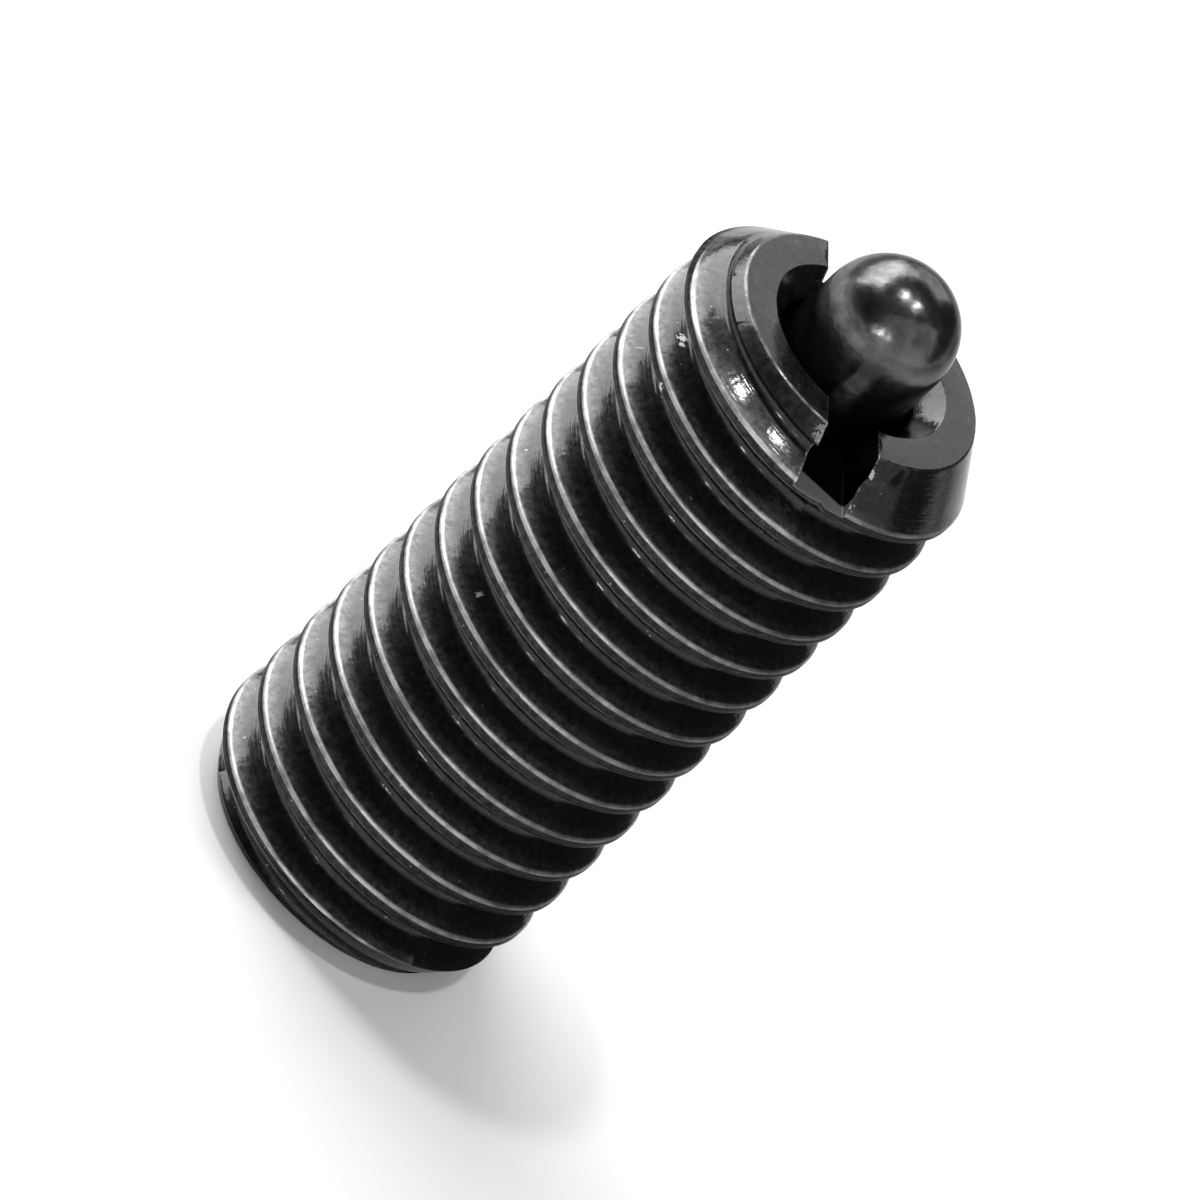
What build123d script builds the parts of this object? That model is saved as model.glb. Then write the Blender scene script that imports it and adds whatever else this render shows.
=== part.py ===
from build123d import *
import math
import os

# Spring plunger, M10 x 1.5 x 22: a threaded sleeve with a driver slot at its nose, a sprung
# pin that stands out of the nose, the spring behind it and the plug that closes the rear.
# Millimetres. The sleeve's axis is +Z, its nose points up, and the origin is the centre of
# its rear end face. The driver slot runs along Y, a little beside the axis.

# Sleeve
body_length = 22.0
thread_diameter = 10.0           # nominal, M10
thread_pitch = 1.5
thread_angle = 60.0
crest_allowance = 0.2            # the crests are this much under the nominal diameter
thread_is_left_handed = True
thread_start_angle = -91.2       # where the crest would meet the nose face, from +X
thread_flats_per_turn = 16       # the groove is cut with flats, which keeps the facets few
nose_face_diameter = 7.65
nose_chamfer_length = 1.1
rear_face_diameter = 8.2
rear_chamfer_length = 1.2

# Driver slot across the nose
slot_width = 1.65
slot_depth = 1.48
slot_offset = -0.25              # from the axis to the middle of the slot, along X

# Bores
countersink_diameter = 5.64
countersink_depth = 0.6
main_bore_diameter = 6.2
nose_land_length = 4.2

# Plug seat
plug_diameter = 6.8
plug_thickness = 2.3
plug_edge_chamfer = 0.3
staked_rim_diameter = 6.0
staked_rim_thickness = 0.4

# Pin
pin_diameter = 3.95
pin_protrusion = 3.0
collar_thickness = 1.5
collar_chamfer = 0.25
spigot_diameter = 3.5
spigot_length = 2.6
spigot_chamfer = 0.4

# Spring
wire_diameter = 0.7
wire_sides = 6                   # the hidden wire is drawn with flats, round and along
coil_flats_per_turn = 14
spring_outer_diameter = 5.65
active_coils = 4.5
dead_coils = 1.0                 # closed coils at each end
dead_coil_gap = 0.03

# Fits
nose_bore_clearance = 0.22       # radial, pin shank in the nose bore
collar_clearance = 0.05          # radial, collar in the main bore
plug_clearance = 0.01            # radial, plug in its seat
thread_overrun = 0.06            # how far a groove cutter stands out of the crest
flat_overlap = 0.08              # how far each groove cutter reaches into the next

# Derived thread diameters, by the metric profile
pitch_diameter = thread_diameter - 0.6495 * thread_pitch
root_diameter = thread_diameter - 1.2269 * thread_pitch
major_diameter = thread_diameter - crest_allowance

# Derived places along Z
nose_face_z = body_length
shoulder_z = nose_face_z - nose_land_length
plug_seat_z = staked_rim_thickness + plug_thickness
collar_rear_z = shoulder_z - collar_thickness
pin_tip_z = nose_face_z + pin_protrusion

# Derived radii
major_radius = major_diameter / 2
root_radius = root_diameter / 2
pin_radius = pin_diameter / 2
nose_bore_radius = pin_radius + nose_bore_clearance
main_bore_radius = main_bore_diameter / 2
collar_radius = main_bore_radius - collar_clearance


def turned(points):
    """A solid of revolution about Z from an outline of (radius, height) points."""
    outline = Polyline(*[(radius, 0, height) for radius, height in points], close=True)
    return revolve(make_face(outline), Axis.Z)


def groove_half_width(radius):
    """Half the axial width of the thread groove at a radius."""
    flank_slope = math.tan(math.radians(thread_angle / 2))
    return thread_pitch / 4 + (radius - pitch_diameter / 2) * flank_slope


def groove_cutters():
    """The helical groove as straight cutters laid end to end, one pitch past both ends."""
    hand = -1 if thread_is_left_handed else 1
    half_flat = math.pi / thread_flats_per_turn
    outer_radius = major_radius / math.cos(half_flat) + thread_overrun
    root_half = groove_half_width(root_radius)
    outer_half = groove_half_width(outer_radius)
    section = make_face(
        Polyline(
            (root_radius, 0, -root_half),
            (outer_radius, 0, -outer_half),
            (outer_radius, 0, outer_half),
            (root_radius, 0, root_half),
            close=True,
        )
    )
    lead_angle = hand * math.atan(thread_pitch / (math.pi * pitch_diameter))
    along = Vector(0, math.cos(lead_angle), math.sin(lead_angle))
    half_length = outer_radius * math.tan(half_flat) + flat_overlap
    start = along * -half_length
    cutter = Pos(start.X, start.Y, start.Z) * extrude(section, 2 * half_length, dir=along)
    cutters = []
    for index in range(math.ceil((body_length / thread_pitch + 2) * thread_flats_per_turn)):
        turns = index / thread_flats_per_turn
        z = nose_face_z + (1 - turns) * thread_pitch
        # The groove lies half a pitch beside the crest, whose start angle is at the nose face.
        angle = thread_start_angle + hand * 360 * (0.5 - turns)
        cutters.append(Pos(0, 0, z) * Rot(0, 0, angle) * cutter)
    return cutters


def threaded_body():
    outline = [
        (staked_rim_diameter / 2, 0),
        (rear_face_diameter / 2, 0),
        (major_radius, rear_chamfer_length),
        (major_radius, nose_face_z - nose_chamfer_length),
        (nose_face_diameter / 2, nose_face_z),
        (countersink_diameter / 2, nose_face_z),
        (nose_bore_radius, nose_face_z - countersink_depth),
        (nose_bore_radius, shoulder_z),
        (main_bore_radius, shoulder_z),
        (main_bore_radius, plug_seat_z),
        (plug_diameter / 2, plug_seat_z),
        (plug_diameter / 2, staked_rim_thickness),
        (staked_rim_diameter / 2, staked_rim_thickness),
    ]
    slot = Box(slot_width, 2 * major_diameter, 2 * slot_depth)
    return turned(outline) - groove_cutters() - Pos(slot_offset, 0, nose_face_z) * slot


def plunger_pin():
    shank_top_z = pin_tip_z - pin_radius
    spigot_radius = spigot_diameter / 2
    spigot_end_z = collar_rear_z - spigot_length
    lower = Polyline(
        (0, 0, shank_top_z + pin_radius),
        (0, 0, spigot_end_z),
        (spigot_radius - spigot_chamfer, 0, spigot_end_z),
        (spigot_radius, 0, spigot_end_z + spigot_chamfer),
        (spigot_radius, 0, collar_rear_z),
        (collar_radius - collar_chamfer, 0, collar_rear_z),
        (collar_radius, 0, collar_rear_z + collar_chamfer),
        (collar_radius, 0, shoulder_z),
        (pin_radius, 0, shoulder_z),
        (pin_radius, 0, shank_top_z),
    )
    dome = CenterArc((0, 0), pin_radius, 0, 90)
    dome = Pos(0, 0, shank_top_z) * Rot(90, 0, 0) * dome
    return revolve(make_face(lower.edges() + dome.edges()), Axis.Z)


def end_plug():
    radius = plug_diameter / 2 - plug_clearance
    return turned(
        [
            (0, staked_rim_thickness),
            (radius - plug_edge_chamfer, staked_rim_thickness),
            (radius, staked_rim_thickness + plug_edge_chamfer),
            (radius, plug_seat_z),
            (0, plug_seat_z),
        ]
    )


def spring():
    """The compression spring, from the plug to the back of the collar, with closed ends."""
    mean_radius = (spring_outer_diameter - wire_diameter) / 2
    dead_pitch = wire_diameter + dead_coil_gap
    low_z = plug_seat_z + wire_diameter / 2
    high_z = collar_rear_z - wire_diameter / 2
    active_pitch = (high_z - low_z - 2 * dead_coils * dead_pitch) / active_coils
    coils = active_coils + 2 * dead_coils
    count = round(coils * coil_flats_per_turn)
    points = []
    for index in range(count + 1):
        turns = coils * index / count
        active = min(max(turns - dead_coils, 0), active_coils)
        z = low_z + active * active_pitch + (turns - active) * dead_pitch
        angle = 2 * math.pi * turns
        points.append(Vector(mean_radius * math.cos(angle), mean_radius * math.sin(angle), z))
    start = Plane(points[0], x_dir=(0, 0, 1), z_dir=points[1] - points[0])
    section = start * RegularPolygon(wire_diameter / 2, wire_sides)
    return sweep(section, path=Polyline(*points), transition=Transition.RIGHT)


os.makedirs("parts", exist_ok=True)
for name, make in {
    "threaded_body": threaded_body,
    "plunger_pin": plunger_pin,
    "spring": spring,
    "end_plug": end_plug,
}.items():
    solid = make()
    solid.label = name
    export_step(solid, f"parts/{name}.step")
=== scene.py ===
"""Spring plunger: the looks of a black-oxide threaded sleeve with a burnished, sprung pin."""

import math

import bmesh
import bpy
import numpy as np
from mathutils import Matrix, Vector


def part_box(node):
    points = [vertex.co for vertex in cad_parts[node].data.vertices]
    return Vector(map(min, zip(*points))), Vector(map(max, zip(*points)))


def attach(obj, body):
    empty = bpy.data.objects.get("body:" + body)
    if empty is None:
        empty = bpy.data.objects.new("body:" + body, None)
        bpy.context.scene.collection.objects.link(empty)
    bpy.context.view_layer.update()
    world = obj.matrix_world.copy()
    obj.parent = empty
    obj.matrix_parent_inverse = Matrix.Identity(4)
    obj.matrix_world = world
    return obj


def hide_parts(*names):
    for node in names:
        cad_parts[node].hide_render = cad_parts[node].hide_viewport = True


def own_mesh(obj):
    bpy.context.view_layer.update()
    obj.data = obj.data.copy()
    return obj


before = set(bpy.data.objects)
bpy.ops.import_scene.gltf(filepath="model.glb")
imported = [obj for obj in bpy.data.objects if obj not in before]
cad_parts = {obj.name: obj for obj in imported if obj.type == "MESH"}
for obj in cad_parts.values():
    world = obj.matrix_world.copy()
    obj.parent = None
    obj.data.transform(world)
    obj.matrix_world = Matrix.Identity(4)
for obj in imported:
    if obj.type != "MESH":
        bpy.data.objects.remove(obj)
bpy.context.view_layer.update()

MM = 0.001
TURN = 2 * math.pi

# Places read from the CAD parts in model.glb, in millimetres
body_low, body_high = (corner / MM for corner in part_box("threaded_body"))
pin_low, pin_high = (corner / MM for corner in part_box("plunger_pin"))
plug_low, plug_high = (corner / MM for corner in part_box("end_plug"))
spring_low, spring_high = (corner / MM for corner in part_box("spring"))

# Sleeve
LENGTH = body_high.z
MAJOR_RADIUS = body_high.x
PITCH_RADIUS = 4.513
ROOT_RADIUS = 4.08
PITCH = 1.5
HALF_THREAD_ANGLE = math.radians(30)
HAND = -1  # left-handed, as pictured
THREAD_START = math.radians(-91.2)  # where the crest would meet the nose face, from +X
CREST_ROUNDING = 0.06
CREST_HALF = PITCH / 4 - (MAJOR_RADIUS - PITCH_RADIUS) * math.tan(HALF_THREAD_ANGLE)
NOSE_FACE_RADIUS = 3.825
NOSE_CHAMFER = 1.1
REAR_FACE_RADIUS = 4.1
REAR_CHAMFER = 1.2
EDGE_ROUNDING = 0.045
SLOT_WIDTH = 1.65
SLOT_DEPTH = 1.48
SLOT_CENTRE = -0.25
SLOT_FLARE = 0.03
# Along this slanting line the painted light on the slot floor's outer end meets the painted
# shade in the rest of the slot
SLOT_LIGHT_EDGE_Y = -4.29  # where the lighter outer end of the slot's floor starts, at x = 0
SLOT_LIGHT_EDGE_SLANT = -0.366
COUNTERSINK_RADIUS = 2.82
COUNTERSINK_DEPTH = 0.6
NOSE_BORE_RADIUS = 2.195
MAIN_BORE_RADIUS = 3.1
NOSE_LAND = 4.2
RIM_RADIUS = 3.0

# The nose cone fills the first groove from beside the slot round to the back, from +X
RUN_OUT_START = math.radians(-104)
RUN_OUT_LENGTH = math.radians(136)
RUN_OUT_RISE = math.radians(38)
RUN_OUT_FALL = math.radians(30)
RUN_OUT_ABOVE_CREST = 0.12

# Pin and spring
PIN_RADIUS = 1.975
COLLAR_THICKNESS = 1.5
COLLAR_CHAMFER = 0.25
SPIGOT_RADIUS = 1.75
SPIGOT_CHAMFER = 0.4
WIRE_RADIUS = 0.35
ACTIVE_COILS = 4.5
DEAD_COILS = 1.0
DEAD_COIL_PITCH = 0.73
PLUG_DIMPLE_DEPTH = 0.35
PLUG_DIMPLE_RADIUS = 0.75
PLUG_CHAMFER = 0.3

# Camera: a long lens that looks down on the upright plunger, rolled so that its nose points
# to the upper right. The driver slot runs along Y, turned a little from the line of sight.
SIGHT_TO_AXIS = math.radians(59)
SLOT_TURN = math.radians(28)
HEADING = -math.pi / 2 - SLOT_TURN
ROLL = math.radians(46.45)
CAMERA_DISTANCE = 0.95
LENS = 1087.3
AIM_ABOVE_MIDDLE = 0.04

COLUMNS = 288
SHARP_ANGLE = math.radians(55)

# The side of the sleeve with painted shade, from +X: there the tone is drawn darker and the worn
# lines dimmer. It is fixed to the sleeve.
PAINTED_SHADE_SIDE = math.radians(-28)

# Bright burrs and nicks on the sleeve: x, y, z, size in millimetres and strength if below 1
BURRS = (
    (-1.2, -3.8, 21.86, 0.15, 0.4),
    (-1.16, -3.95, 21.66, 0.15, 0.4),
    (0.62, -4.12, 21.6, 0.12),
    (0.64, -4.72, 20.88, 0.14),
    (0.66, -4.5, 21.15, 0.08),
    (-4.24, -0.6, 19.84, 0.13),
    (-4.2, -0.82, 19.79, 0.1),
    (-4.434, -2.086, 19.13, 0.12),
    (-3.75, -2.21, 10.7, 0.1),
    (-0.8, -4.55, 19.35, 0.45, 0.1),
)


# ---- Camera, floor and lamps ----


def aim(thing, place, target, roll=0.0):
    """Stands a camera or lamp at a place, looking at a target."""
    sight = (Vector(target) - Vector(place)).to_track_quat("-Z", "Y").to_matrix().to_4x4()
    thing.matrix_world = Matrix.Translation(place) @ sight @ Matrix.Rotation(roll, 4, "Z")


def direction(azimuth, elevation):
    """A unit vector, from an azimuth to the right of the camera and an elevation, in degrees."""
    heading = HEADING + math.radians(azimuth)
    rise = math.radians(elevation)
    level = math.cos(rise)
    return Vector((level * math.cos(heading), level * math.sin(heading), math.sin(rise)))


def add_camera():
    target = Vector((0, 0, (LENGTH / 2 + AIM_ABOVE_MIDDLE) * MM))
    sight = direction(0, 90 - math.degrees(SIGHT_TO_AXIS))
    data = bpy.data.cameras.new("camera")
    data.lens = LENS
    data.clip_start = 0.01
    camera = bpy.data.objects.new("camera", data)
    bpy.context.scene.collection.objects.link(camera)
    aim(camera, target + sight * CAMERA_DISTANCE, target, ROLL)
    bpy.context.scene.camera = camera


def add_lamp(name, azimuth, elevation, width, height, radiance, distance=0.25):
    """A soft box that faces the plunger. Width and height are in metres."""
    data = bpy.data.lights.new(name, "AREA")
    data.shape = "RECTANGLE"
    data.size = width
    data.size_y = height
    data.energy = radiance * math.pi * width * height
    lamp = bpy.data.objects.new(name, data)
    bpy.context.scene.collection.objects.link(lamp)
    lamp.visible_camera = False
    target = Vector((0, 0, LENGTH / 2 * MM))
    aim(lamp, target + direction(azimuth, elevation) * distance, target)


def add_floor():
    mesh = bpy.data.meshes.new("floor")
    disc = bmesh.new()
    bmesh.ops.create_circle(disc, cap_ends=True, radius=0.7, segments=96)
    disc.to_mesh(mesh)
    disc.free()
    floor = bpy.data.objects.new("floor", mesh)
    bpy.context.scene.collection.objects.link(floor)
    material = bpy.data.materials.new("pale_floor")
    material.use_nodes = True
    shader = material.node_tree.nodes["Principled BSDF"]
    shader.inputs["Base Color"].default_value = (0.94, 0.94, 0.94, 1)
    shader.inputs["Roughness"].default_value = 0.9
    shader.inputs["Specular IOR Level"].default_value = 0.1
    mesh.materials.append(material)


def add_world():
    """A dim room with a pale band along the horizon."""
    world = bpy.data.worlds.new("studio")
    bpy.context.scene.world = world
    world.use_nodes = True
    tree = world.node_tree
    place = tree.nodes.new("ShaderNodeTexCoord")
    split = tree.nodes.new("ShaderNodeSeparateXYZ")
    height = tree.nodes.new("ShaderNodeMath")
    height.operation = "ABSOLUTE"
    fade = tree.nodes.new("ShaderNodeMapRange")
    fade.interpolation_type = "SMOOTHSTEP"
    fade.inputs["From Min"].default_value = 0.05
    fade.inputs["From Max"].default_value = 0.1
    fade.inputs["To Min"].default_value = 1.0
    fade.inputs["To Max"].default_value = 0.06
    tree.links.new(place.outputs["Generated"], split.inputs[0])
    tree.links.new(split.outputs["Z"], height.inputs[0])
    tree.links.new(height.outputs[0], fade.inputs["Value"])
    tree.links.new(fade.outputs[0], tree.nodes["Background"].inputs["Strength"])
    tree.nodes["Background"].inputs["Color"].default_value = (1, 1, 1, 1)


# ---- Meshes ----


def mesh_object(name, points, faces, body, nodes):
    """A smooth mesh object, in metres from points in millimetres, that stands for CAD nodes."""
    mesh = bpy.data.meshes.new(name)
    mesh.from_pydata((np.asarray(points) * MM).tolist(), [], faces)
    shape = bmesh.new()
    shape.from_mesh(mesh)
    bmesh.ops.remove_doubles(shape, verts=shape.verts, dist=0.0004 * MM)
    bmesh.ops.dissolve_degenerate(shape, edges=shape.edges, dist=0.0002 * MM)
    bmesh.ops.recalc_face_normals(shape, faces=shape.faces)
    shape.to_mesh(mesh)
    shape.free()
    thing = bpy.data.objects.new(name, mesh)
    bpy.context.scene.collection.objects.link(thing)
    smooth(mesh)
    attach(thing, body)
    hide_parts(*nodes)
    return thing


def smooth(mesh):
    mesh.polygons.foreach_set("use_smooth", [True] * len(mesh.polygons))
    mesh.set_sharp_from_angle(angle=SHARP_ANGLE)


def ring_grid(rows, columns, first=0, seam_shift=0):
    """Quads between rows of points that close into rings, shifted by some rows at the seam."""
    faces = []
    for row in range(rows - 1):
        for column in range(columns):
            right = column + 1
            shift = 0
            if right == columns:
                right = 0
                shift = seam_shift
            if not 0 <= row + shift <= rows - 2:
                continue
            low = first + row * columns + column
            high = low + columns
            low_right = first + (row + shift) * columns + right
            faces.append((low, low_right, low_right + columns, high))
    return faces


def lathe(outline, columns, first=0):
    """Points and quads of a turned surface from (radius, height) pairs."""
    angles = np.arange(columns) * TURN / columns
    points = []
    for radius, height in outline:
        ring = [radius * np.cos(angles), radius * np.sin(angles), np.full(columns, height)]
        points.append(np.stack(ring, axis=-1))
    return np.concatenate(points), ring_grid(len(outline), columns, first)


def rounded(outline, radius):
    """The outline with each inner corner rounded, as far as its two sides allow."""
    corners = [Vector(point) for point in outline]
    result = [tuple(corners[0])]
    for before, corner, after in zip(corners, corners[1:], corners[2:]):
        reach = min(radius, (before - corner).length * 0.45, (after - corner).length * 0.45)
        start = corner + (before - corner).normalized() * reach
        end = corner + (after - corner).normalized() * reach
        result += bend(start, corner, end)
    result.append(tuple(corners[-1]))
    return result


def bend(start, corner, end, steps=3):
    """Points of a small round from start to end, about a corner."""
    result = []
    for step in range(steps + 1):
        share = step / steps
        near = Vector(start).lerp(Vector(corner), share)
        far = Vector(corner).lerp(Vector(end), share)
        result.append(tuple(near.lerp(far, share)))
    return result


def thread_radius(offset):
    """The thread's radius at an axial distance from the crest's middle, its edges worn round."""
    slope = math.tan(HALF_THREAD_ANGLE)
    total = 0
    spread = np.linspace(-CREST_ROUNDING, CREST_ROUNDING, 9)
    for step in spread:
        away = np.abs(offset + step)
        away = np.abs(away - PITCH * np.round(away / PITCH))
        flank = MAJOR_RADIUS - (away - CREST_HALF) / slope
        total = total + np.clip(flank, ROOT_RADIUS, MAJOR_RADIUS)
    return total / len(spread)


def sleeve_outside():
    """Points and quads of the thread, its rows along the helix, cut by the end chamfers."""
    # Rows on one side of a crest's middle, closer together at its edges and at the root
    half = np.array([0.1, 0.14, 0.165, 0.2, 0.4, 0.57, 0.635, 0.7])
    offsets = np.concatenate([[-PITCH / 2], -half[::-1], [0.0], half])
    pitches = np.arange(-2, math.ceil(LENGTH / PITCH) + 3)
    along = (pitches[:, None] * PITCH + offsets[None, :]).ravel()
    angles = np.arange(COLUMNS) * TURN / COLUMNS
    shift = HAND * PITCH * (angles - THREAD_START) / TURN + LENGTH % PITCH
    heights = along[:, None] + shift[None, :]
    offset = np.tile(offsets, len(pitches))[:, None] + np.zeros(COLUMNS)[None, :]
    radii = thread_radius(offset)
    cone, beyond = run_out(heights, angles)
    radii = np.where(beyond, radii + (cone - radii) * run_out_share(angles), radii)

    # The row nearest to an end chamfer moves onto its edge, and the rows beyond it follow it
    top = LENGTH - EDGE_ROUNDING
    bottom = EDGE_ROUNDING
    for column in range(COLUMNS):
        z = heights[:, column]
        r = radii[:, column]
        over = r - end_radius(z)
        for row in range(len(z) - 1):
            if over[row] * over[row + 1] < 0 and bottom < z[row] and z[row + 1] < top:
                share = over[row] / (over[row] - over[row + 1])
                nearest = row if share < 0.5 else row + 1
                z[nearest] = z[row] + share * (z[row + 1] - z[row])
                r[nearest] = end_radius(z[nearest])
        z[:] = np.clip(z, bottom, top)
        r[:] = np.minimum(r, end_radius(z))
    points = np.stack([radii * np.cos(angles), radii * np.sin(angles), heights], axis=-1)
    quads = ring_grid(len(along), COLUMNS, seam_shift=HAND * len(offsets))
    return points.reshape(-1, 3), quads


def run_out(heights, angles):
    """The plain cone from the nose face to the first crest, and which heights lie along it."""
    behind_start = np.mod(HAND * (THREAD_START - angles), TURN) / TURN
    crest_edge = LENGTH - (1 + behind_start) * PITCH + RUN_OUT_ABOVE_CREST
    top = LENGTH - EDGE_ROUNDING
    slope = (MAJOR_RADIUS - end_radius(top)) / (top - crest_edge)
    cone = MAJOR_RADIUS - (np.minimum(heights, top) - crest_edge) * slope
    return cone, heights > crest_edge


def run_out_share(angles):
    """How far the first groove is filled at some angles, from 0 to 1."""
    along = np.mod(angles - RUN_OUT_START, TURN)
    rise = np.clip(along / RUN_OUT_RISE, 0, 1)
    fall = np.clip((RUN_OUT_LENGTH - along) / RUN_OUT_FALL, 0, 1)
    share = np.minimum(rise, fall)
    return share * share * (3 - 2 * share)


def end_radius(height):
    """The radius that the end chamfers leave at a height."""
    nose_slope = (MAJOR_RADIUS - NOSE_FACE_RADIUS) / NOSE_CHAMFER
    rear_slope = (MAJOR_RADIUS - REAR_FACE_RADIUS) / REAR_CHAMFER
    nose = NOSE_FACE_RADIUS + (LENGTH - height) * nose_slope
    return np.minimum(nose, REAR_FACE_RADIUS + height * rear_slope)


def slot_cutter():
    """A box with softened lower corners that cuts the driver slot."""
    half = SLOT_WIDTH / 2
    floor = LENGTH - SLOT_DEPTH
    reach = MAJOR_RADIUS + 1
    section = [
        (-half - SLOT_FLARE, LENGTH + 1),
        (-half - SLOT_FLARE, LENGTH),
        (-half, LENGTH - SLOT_FLARE),
        (-half, floor + 0.08),
        (-half + 0.03, floor + 0.03),
        (-half + 0.08, floor),
        (half - 0.08, floor),
        (half - 0.03, floor + 0.03),
        (half, floor + 0.08),
        (half, LENGTH - SLOT_FLARE),
        (half + SLOT_FLARE, LENGTH),
        (half + SLOT_FLARE, LENGTH + 1),
    ]
    count = len(section)
    steps = np.linspace(-reach, reach, 60)
    points = []
    for y in steps:
        for x, z in section:
            points.append((SLOT_CENTRE + x, y, z))
    faces = []
    for step in range(len(steps) - 1):
        for corner in range(count):
            after = (corner + 1) % count
            low = step * count
            high = low + count
            faces.append((low + corner, low + after, high + after, high + corner))
    faces.append(tuple(range(count))[::-1])
    faces.append(tuple(range((len(steps) - 1) * count, len(steps) * count)))
    mesh = bpy.data.meshes.new("slot_cutter")
    mesh.from_pydata((np.array(points) * MM).tolist(), [], faces)
    shape = bmesh.new()
    shape.from_mesh(mesh)
    bmesh.ops.recalc_face_normals(shape, faces=shape.faces)
    shape.to_mesh(mesh)
    shape.free()
    cutter = bpy.data.objects.new("slot_cutter", mesh)
    bpy.context.scene.collection.objects.link(cutter)
    return cutter


def make_sleeve():
    points, quads = sleeve_outside()
    shoulder = LENGTH - NOSE_LAND
    seat = plug_high.z
    seat_radius = plug_high.x + 0.01
    top = LENGTH - EDGE_ROUNDING
    nose = rounded(
        [
            (NOSE_FACE_RADIUS + 0.001, LENGTH),
            (COUNTERSINK_RADIUS, LENGTH),
            (NOSE_BORE_RADIUS, LENGTH - COUNTERSINK_DEPTH),
            (NOSE_BORE_RADIUS, shoulder),
            (MAIN_BORE_RADIUS, shoulder),
            (MAIN_BORE_RADIUS, seat),
            (seat_radius, seat),
            (seat_radius, plug_low.z),
            (RIM_RADIUS, plug_low.z),
            (RIM_RADIUS, 0),
            (REAR_FACE_RADIUS, 0),
        ],
        EDGE_ROUNDING,
    )
    nose[0] = (NOSE_FACE_RADIUS - EDGE_ROUNDING, LENGTH)
    nose[-1] = (REAR_FACE_RADIUS - EDGE_ROUNDING, 0)
    edge = bend((float(end_radius(top)), top), (NOSE_FACE_RADIUS, LENGTH), nose[0])
    rear = bend(
        nose[-1], (REAR_FACE_RADIUS, 0), (float(end_radius(EDGE_ROUNDING)), EDGE_ROUNDING)
    )
    inside, more = lathe(edge[:-1] + nose + rear[1:], COLUMNS, len(points))
    sleeve = mesh_object(
        "sleeve",
        np.concatenate([points, inside]),
        quads + more,
        "sleeve",
        ["threaded_body"],
    )
    cutter = slot_cutter()
    cut = sleeve.modifiers.new("slot", "BOOLEAN")
    cut.operation = "DIFFERENCE"
    cut.solver = "EXACT"
    cut.object = cutter
    bpy.context.view_layer.update()
    result = bpy.data.meshes.new_from_object(
        sleeve.evaluated_get(bpy.context.evaluated_depsgraph_get())
    )
    sleeve.modifiers.clear()
    sleeve.data = result
    bpy.data.objects.remove(cutter)
    smooth(result)
    return sleeve


def make_pin():
    shoulder = LENGTH - NOSE_LAND
    collar_rear = shoulder - COLLAR_THICKNESS
    collar_radius = pin_high.x
    dome_base = pin_high.z - PIN_RADIUS
    lower = rounded(
        [
            (0, pin_low.z),
            (SPIGOT_RADIUS - SPIGOT_CHAMFER, pin_low.z),
            (SPIGOT_RADIUS, pin_low.z + SPIGOT_CHAMFER),
            (SPIGOT_RADIUS, collar_rear),
            (collar_radius - COLLAR_CHAMFER, collar_rear),
            (collar_radius, collar_rear + COLLAR_CHAMFER),
            (collar_radius, shoulder),
            (PIN_RADIUS, shoulder),
            (PIN_RADIUS, shoulder + 2),
            (PIN_RADIUS, dome_base),
        ],
        0.06,
    )
    steps = np.linspace(0, math.pi / 2, 33)[1:]
    dome = [(PIN_RADIUS * math.cos(a), dome_base + PIN_RADIUS * math.sin(a)) for a in steps]
    points, faces = lathe(lower + dome, 192)
    return mesh_object("pin", points, faces, "plunger", ["plunger_pin"])


def make_plug():
    radius = plug_high.x
    outline = rounded(
        [
            (0, plug_low.z + PLUG_DIMPLE_DEPTH),
            (PLUG_DIMPLE_RADIUS, plug_low.z),
            (radius - PLUG_CHAMFER, plug_low.z),
            (radius, plug_low.z + PLUG_CHAMFER),
            (radius, plug_high.z),
            (0, plug_high.z),
        ],
        0.06,
    )
    points, faces = lathe(outline, 144)
    return mesh_object("plug", points, faces, "sleeve", ["end_plug"])


def make_spring():
    """A round wire wound as the CAD spring is, with closed end coils."""
    mean_radius = spring_high.x - WIRE_RADIUS
    low = spring_low.z + WIRE_RADIUS
    high = spring_high.z - WIRE_RADIUS
    dead_rise = DEAD_COILS * DEAD_COIL_PITCH
    turns = 2 * DEAD_COILS + ACTIVE_COILS
    along = np.linspace(0, turns, 520)
    knots = [0, DEAD_COILS, turns - DEAD_COILS, turns]
    heights = np.interp(along, knots, [low, low + dead_rise, high - dead_rise, high])
    sides = 14
    points = []
    for turn, height in zip(along, heights):
        for side in range(sides):
            tilt = side * TURN / sides
            radius = mean_radius + WIRE_RADIUS * math.cos(tilt)
            angle = turn * TURN
            z = height + WIRE_RADIUS * math.sin(tilt)
            points.append((radius * math.cos(angle), radius * math.sin(angle), z))
    faces = ring_grid(len(along), sides)
    faces.append(tuple(range(sides)))
    faces.append(tuple(range((len(along) - 1) * sides, len(along) * sides)))
    spring = mesh_object("coil_spring", points, faces, "sleeve", ["spring"])
    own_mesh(spring)
    return spring


# ---- Materials ----


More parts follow.
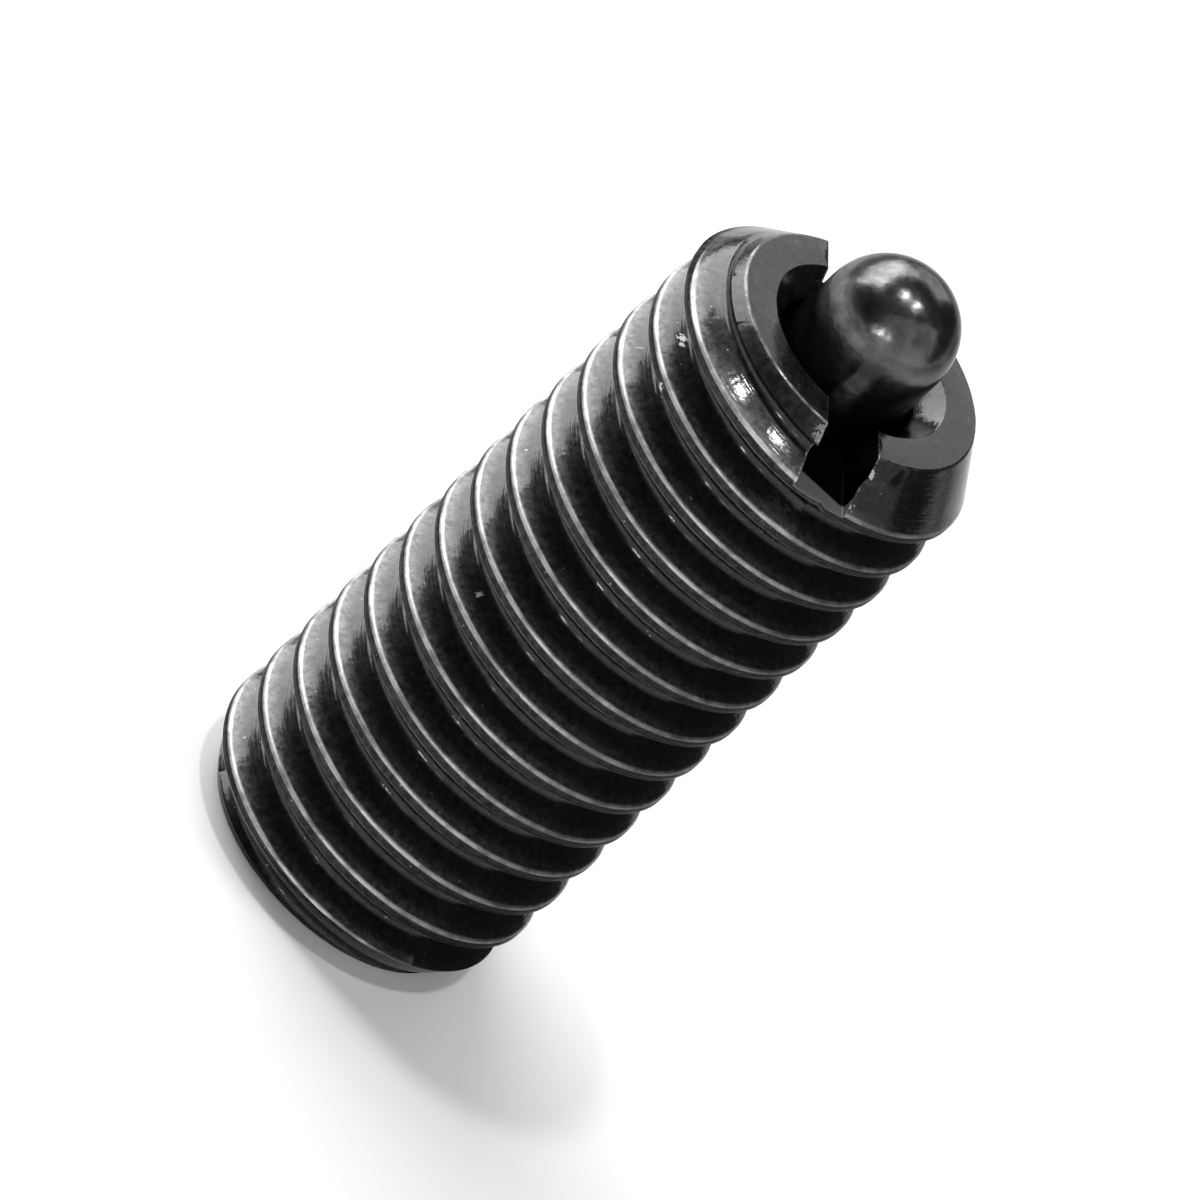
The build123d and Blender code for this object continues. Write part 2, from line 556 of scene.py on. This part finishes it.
class Nodes:
    """Short forms for wiring a material's nodes. Values are numbers or sockets."""

    def __init__(self, name):
        self.material = bpy.data.materials.new(name)
        self.material.use_nodes = True
        self.tree = self.material.node_tree
        self.shader = self.tree.nodes["Principled BSDF"]

    def put(self, socket, value):
        if isinstance(value, bpy.types.NodeSocket):
            self.tree.links.new(value, socket)
        else:
            socket.default_value = value

    def shade(self, name, value):
        """Gives one of the shader's sockets a value."""
        self.put(self.shader.inputs[name], value)

    def math(self, operation, *values):
        node = self.tree.nodes.new("ShaderNodeMath")
        node.operation = operation
        for socket, value in zip(node.inputs, values):
            self.put(socket, value)
        return node.outputs[0]

    def plus(self, first, *others):
        for other in others:
            first = self.math("ADD", first, other)
        return first

    def minus(self, first, second):
        return self.math("SUBTRACT", first, second)

    def times(self, first, *others):
        for other in others:
            first = self.math("MULTIPLY", first, other)
        return first

    def distance(self, first, second):
        """How far apart two numbers are."""
        return self.math("ABSOLUTE", self.minus(first, second))

    def place(self):
        """Object coordinates in millimetres, as a vector and its three parts."""
        source = self.tree.nodes.new("ShaderNodeTexCoord")
        scale = self.tree.nodes.new("ShaderNodeVectorMath")
        scale.operation = "SCALE"
        scale.inputs["Scale"].default_value = 1 / MM
        self.tree.links.new(source.outputs["Object"], scale.inputs[0])
        split = self.tree.nodes.new("ShaderNodeSeparateXYZ")
        self.tree.links.new(scale.outputs[0], split.inputs[0])
        return scale.outputs[0], *split.outputs

    def radius(self, x, y):
        return self.math("SQRT", self.plus(self.times(x, x), self.times(y, y)))

    def vector(self, x, y, z):
        node = self.tree.nodes.new("ShaderNodeCombineXYZ")
        for socket, value in zip(node.inputs, (x, y, z)):
            self.put(socket, value)
        return node.outputs[0]

    def noise(self, vector, scale, detail=2.0, roughness=0.5, w=None):
        node = self.tree.nodes.new("ShaderNodeTexNoise")
        if w is not None:
            node.noise_dimensions = "4D"
            self.put(node.inputs["W"], w)
        self.put(node.inputs["Vector"], vector)
        node.inputs["Scale"].default_value = scale
        node.inputs["Detail"].default_value = detail
        node.inputs["Roughness"].default_value = roughness
        return node.outputs["Fac"]

    def marks(self, x, y, across, scale, density, detail=3.0, roughness=0.6, w=None):
        """Fine marks round the axis: coarse noise in x and y, dense across the marks."""
        drawn_out = self.vector(
            self.times(x, scale), self.times(y, scale), self.times(across, density)
        )
        return self.noise(drawn_out, 1.0, detail, roughness, w)

    def ramp(self, value, low, high, start=0.0, end=1.0):
        """A smooth step from start to end, as a value goes from low to high."""
        node = self.tree.nodes.new("ShaderNodeMapRange")
        node.interpolation_type = "SMOOTHSTEP"
        self.put(node.inputs["Value"], value)
        node.inputs["From Min"].default_value = low
        node.inputs["From Max"].default_value = high
        node.inputs["To Min"].default_value = start
        node.inputs["To Max"].default_value = end
        return node.outputs[0]

    def mix(self, factor, low, high):
        """A number between two others."""
        node = self.tree.nodes.new("ShaderNodeMix")
        self.put(node.inputs["Factor"], factor)
        self.put(node.inputs["A"], low)
        self.put(node.inputs["B"], high)
        return node.outputs["Result"]

    def spot(self, place, ragged, x, y, z, size, strength=1.0):
        """A spot about a point, its edge broken by a ragged noise."""
        node = self.tree.nodes.new("ShaderNodeVectorMath")
        node.operation = "DISTANCE"
        self.put(node.inputs[0], place)
        node.inputs[1].default_value = (x, y, z)
        away = self.times(node.outputs["Value"], self.ramp(ragged, 0.35, 0.65, 0.6, 1.5))
        return self.ramp(away, size * 0.6, size, strength, 0.0)

    def grey(self, value):
        node = self.tree.nodes.new("ShaderNodeCombineColor")
        for socket in node.inputs:
            self.put(socket, value)
        return node.outputs[0]

    def bump(self, height, distance, strength=1.0, normal=None):
        """A bump whose height of 1 stands a distance in millimetres."""
        node = self.tree.nodes.new("ShaderNodeBump")
        node.inputs["Distance"].default_value = distance * MM
        node.inputs["Strength"].default_value = strength
        self.put(node.inputs["Height"], height)
        if normal is not None:
            self.put(node.inputs["Normal"], normal)
        return node.outputs[0]


def slot_masks(n, x, y, z):
    """The slot's sunken part, which gets painted shade, its floor's outer end, which gets
    painted light, and how far a place is beside it.
    """
    floor = LENGTH - SLOT_DEPTH
    beside = n.minus(n.distance(x, SLOT_CENTRE), SLOT_WIDTH / 2)
    inside = n.times(n.ramp(beside, 0.01, 0.02, 1.0, 0.0), n.ramp(z, floor - 0.04, floor - 0.02))
    past_line = n.minus(n.times(x, SLOT_LIGHT_EDGE_SLANT), n.minus(y, SLOT_LIGHT_EDGE_Y))
    painted_slot_light = n.times(n.ramp(past_line, -0.05, 0.05), inside)
    return n.minus(inside, painted_slot_light), painted_slot_light, beside, inside


def edge_wear(n, place, z, radius, beside_slot, in_slot):
    """Patches of bare metal along the slot's edges and round the nose face."""
    floor = LENGTH - SLOT_DEPTH
    slot_edge = n.times(
        n.ramp(beside_slot, 0.02, 0.09, 1.0, 0.0),
        n.ramp(z, floor, floor + 0.1),
        n.minus(1.0, in_slot),
        n.ramp(n.noise(place, 4.0, 3.0, 0.6), 0.45, 0.62, 0.0, 0.4),
    )
    face_edge = n.times(
        n.ramp(n.distance(radius, NOSE_FACE_RADIUS), 0.02, 0.06, 1.0, 0.0),
        n.ramp(z, LENGTH - 0.15, LENGTH - 0.1),
        n.ramp(n.noise(place, 3.0, 3.0, 0.6), 0.35, 0.7, 0.05, 0.3),
    )
    return slot_edge, face_edge


def black_oxide():
    """Blackened steel: bright worn thread crests, marks along the helix, mottled gloss."""
    n = Nodes("black_oxide")
    place, x, y, z = n.place()
    radius = n.radius(x, y)

    # Where a place lies on the thread, in pitches and in millimetres from the crest's middle
    angle = n.math("DIVIDE", n.minus(n.math("ARCTAN2", y, x), THREAD_START), TURN)
    turns = n.minus(n.math("DIVIDE", n.minus(z, LENGTH), PITCH), n.times(angle, HAND))
    phase = n.minus(turns, n.math("ROUND", turns))
    above_crest = n.times(phase, PITCH)
    from_crest = n.times(n.math("ABSOLUTE", phase), PITCH)
    outer = n.ramp(radius, MAJOR_RADIUS - 0.2, MAJOR_RADIUS - 0.05)

    streaks = n.marks(x, y, radius, 0.25, 9.0, w=n.times(phase, 26.0))
    clouds = n.noise(place, 1.6, 3.0, 0.55)
    grain = n.noise(place, 22.0, 2.0, 0.6)
    mottle = n.noise(place, 5.0, 4.0, 0.7)
    pits = n.ramp(n.noise(place, 7.0, 2.0, 0.5), 0.70, 0.78)
    specks = n.ramp(n.noise(place, 9.0, 1.0, 0.4), 0.76, 0.82, 0.0, 0.5)
    ragged = n.noise(place, 11.0, 2.0, 0.6)
    burrs = n.plus(0.0, *[n.spot(place, ragged, *burr) for burr in BURRS])

    # Wear: a line along each crest edge, a haze on the flanks beside it, edges and specks
    upper_edge = n.ramp(n.distance(above_crest, CREST_HALF - 0.01), 0.02, 0.075, 1.4, 0.0)
    lower_edge = n.ramp(n.distance(above_crest, -CREST_HALF), 0.01, 0.035, 0.6, 0.0)
    rubbed = n.ramp(n.noise(place, 1.4, 4.0, 0.7), 0.35, 0.7)
    lines = n.times(n.plus(upper_edge, lower_edge), outer, n.plus(0.3, n.times(rubbed, 0.55)))
    rubbed_flank = n.times(
        n.ramp(from_crest, CREST_HALF, CREST_HALF + 0.32, 0.16, 0.0),
        n.ramp(radius, 4.4, 4.75),
        n.ramp(mottle, 0.35, 0.65, 0.3, 1.0),
        n.ramp(from_crest, CREST_HALF - 0.01, CREST_HALF + 0.01, 0.4, 1.0),
    )
    painted_slot_shade, painted_slot_light, beside_slot, in_slot = slot_masks(n, x, y, z)
    edges = edge_wear(n, place, z, radius, beside_slot, in_slot)
    # Painted shade on one side of the sleeve: it darkens the tone and dims the wear there
    painted_shade = n.plus(n.times(x, math.cos(PAINTED_SHADE_SIDE)), n.times(y, math.sin(PAINTED_SHADE_SIDE)))
    painted_shade = n.ramp(painted_shade, 0.8, 4.2)
    outside_slot_shade = n.minus(1.0, painted_slot_shade)
    worn = n.times(n.plus(lines, rubbed_flank, *edges, specks), n.mix(painted_shade, 1.0, 0.35))
    worn = n.times(n.math("MINIMUM", 1.0, n.plus(worn, burrs)), outside_slot_shade)

    # The flat of each crest is darker and duller
    flat = n.times(
        n.ramp(from_crest, CREST_HALF - 0.04, CREST_HALF, 1.0, 0.0),
        outer,
        n.ramp(streaks, 0.4, 0.7, 1.0, 0.5),
    )
    tone = n.times(
        n.plus(0.012, n.times(clouds, 0.018)),
        n.ramp(mottle, 0.3, 0.7, 0.5, 1.6),
        # painted shade on one side
        n.mix(painted_shade, 1.0, 0.6),
        n.mix(flat, 1.0, 0.2),
    )
    # Painted shade: the slot, but for its floor's outer end, is drawn nearly black, without coat
    # or wear
    tone = n.mix(painted_slot_shade, n.mix(worn, tone, 0.55), 0.003)
    rough = n.plus(0.26, n.times(mottle, 0.2), n.times(streaks, 0.06))
    # Painted light: the outer end of the slot's floor is drawn lighter and less metallic
    n.shade("Base Color", n.grey(n.mix(painted_slot_light, tone, 0.12)))
    n.shade("Metallic", n.mix(painted_slot_light, 0.93, 0.2))
    n.shade("Specular Tint", (0.35, 0.35, 0.35, 1))
    n.shade("Roughness", n.mix(worn, rough, 0.5))
    n.shade("Coat Weight", n.times(outside_slot_shade, n.mix(flat, 0.6, 0.05)))
    n.shade("Coat Roughness", 0.1)
    normal = n.bump(streaks, 0.01, 0.6)
    normal = n.bump(clouds, 0.03, 0.5, normal)
    n.shade("Coat Normal", normal)
    normal = n.bump(grain, 0.004, 0.8, normal)
    n.shade("Normal", n.bump(n.times(pits, -1.0), 0.02, 0.6, normal))
    return n.material


def burnished_steel():
    """Dark burnished steel with fine turning marks about the axis, with painted shade on the
    shank below the dome.
    """
    n = Nodes("burnished_steel")
    place, x, y, z = n.place()
    rings = n.marks(x, y, z, 0.3, 14.0)
    clouds = n.noise(place, 1.3, 3.0, 0.55)
    dome_base = pin_high.z - PIN_RADIUS
    # Painted shade: the shank below the dome is drawn darker
    dome = n.ramp(z, dome_base - 0.3, dome_base + 0.5, 0.55, 1.0)
    n.shade("Base Color", n.grey(n.times(n.ramp(clouds, 0.3, 0.7, 0.06, 0.16), dome)))
    n.shade("Metallic", 0.98)
    n.shade("Specular Tint", (0.6, 0.6, 0.6, 1))
    n.shade("Roughness", n.plus(0.17, n.times(rings, 0.12)))
    n.shade("Normal", n.bump(clouds, 0.04, 0.6, n.bump(rings, 0.003, 0.3)))
    return n.material


def spring_steel():
    """Drawn wire with faint lengthwise marks."""
    n = Nodes("spring_steel")
    _, x, y, z = n.place()
    drawn = n.marks(x, y, z, 0.8, 12.0, 2.0, 0.5)
    n.shade("Base Color", n.grey(n.plus(0.3, n.times(drawn, 0.2))))
    n.shade("Metallic", 1.0)
    n.shade("Roughness", n.plus(0.22, n.times(drawn, 0.15)))
    n.shade("Normal", n.bump(drawn, 0.006, 0.5))
    return n.material


def plug_steel():
    """Blackened plug face with turned rings."""
    n = Nodes("plug_steel")
    place, x, y, _ = n.place()
    rings = n.marks(x, y, n.radius(x, y), 0.2, 12.0)
    clouds = n.noise(place, 1.5, 3.0, 0.55)
    n.shade("Base Color", n.grey(n.plus(0.03, n.times(clouds, 0.05))))
    n.shade("Metallic", 0.5)
    n.shade("Roughness", n.plus(0.25, n.times(rings, 0.2)))
    n.shade("Normal", n.bump(rings, 0.01, 0.6))
    return n.material


add_camera()
add_floor()
add_world()
add_lamp("left_softbox", -124, 33, 0.28, 0.165, 6.2)
add_lamp("rear_panel", 180, 33, 0.14, 0.16, 1.8)
add_lamp("right_panel", 50, 34, 0.5, 0.28, 0.65)
add_lamp("top_left", -91, 78, 0.014, 0.014, 230)
add_lamp("top_right", 90, 84, 0.014, 0.014, 190)
add_lamp("front", -3, 22.5, 0.02, 0.02, 60)
add_lamp("front_right", 14, 25, 0.02, 0.02, 15)

for piece, material in (
    (make_sleeve(), black_oxide()),
    (make_pin(), burnished_steel()),
    (make_plug(), plug_steel()),
    (make_spring(), spring_steel()),
):
    piece.data.materials.clear()
    piece.data.materials.append(material)

bpy.context.scene.view_settings.view_transform = "Standard"
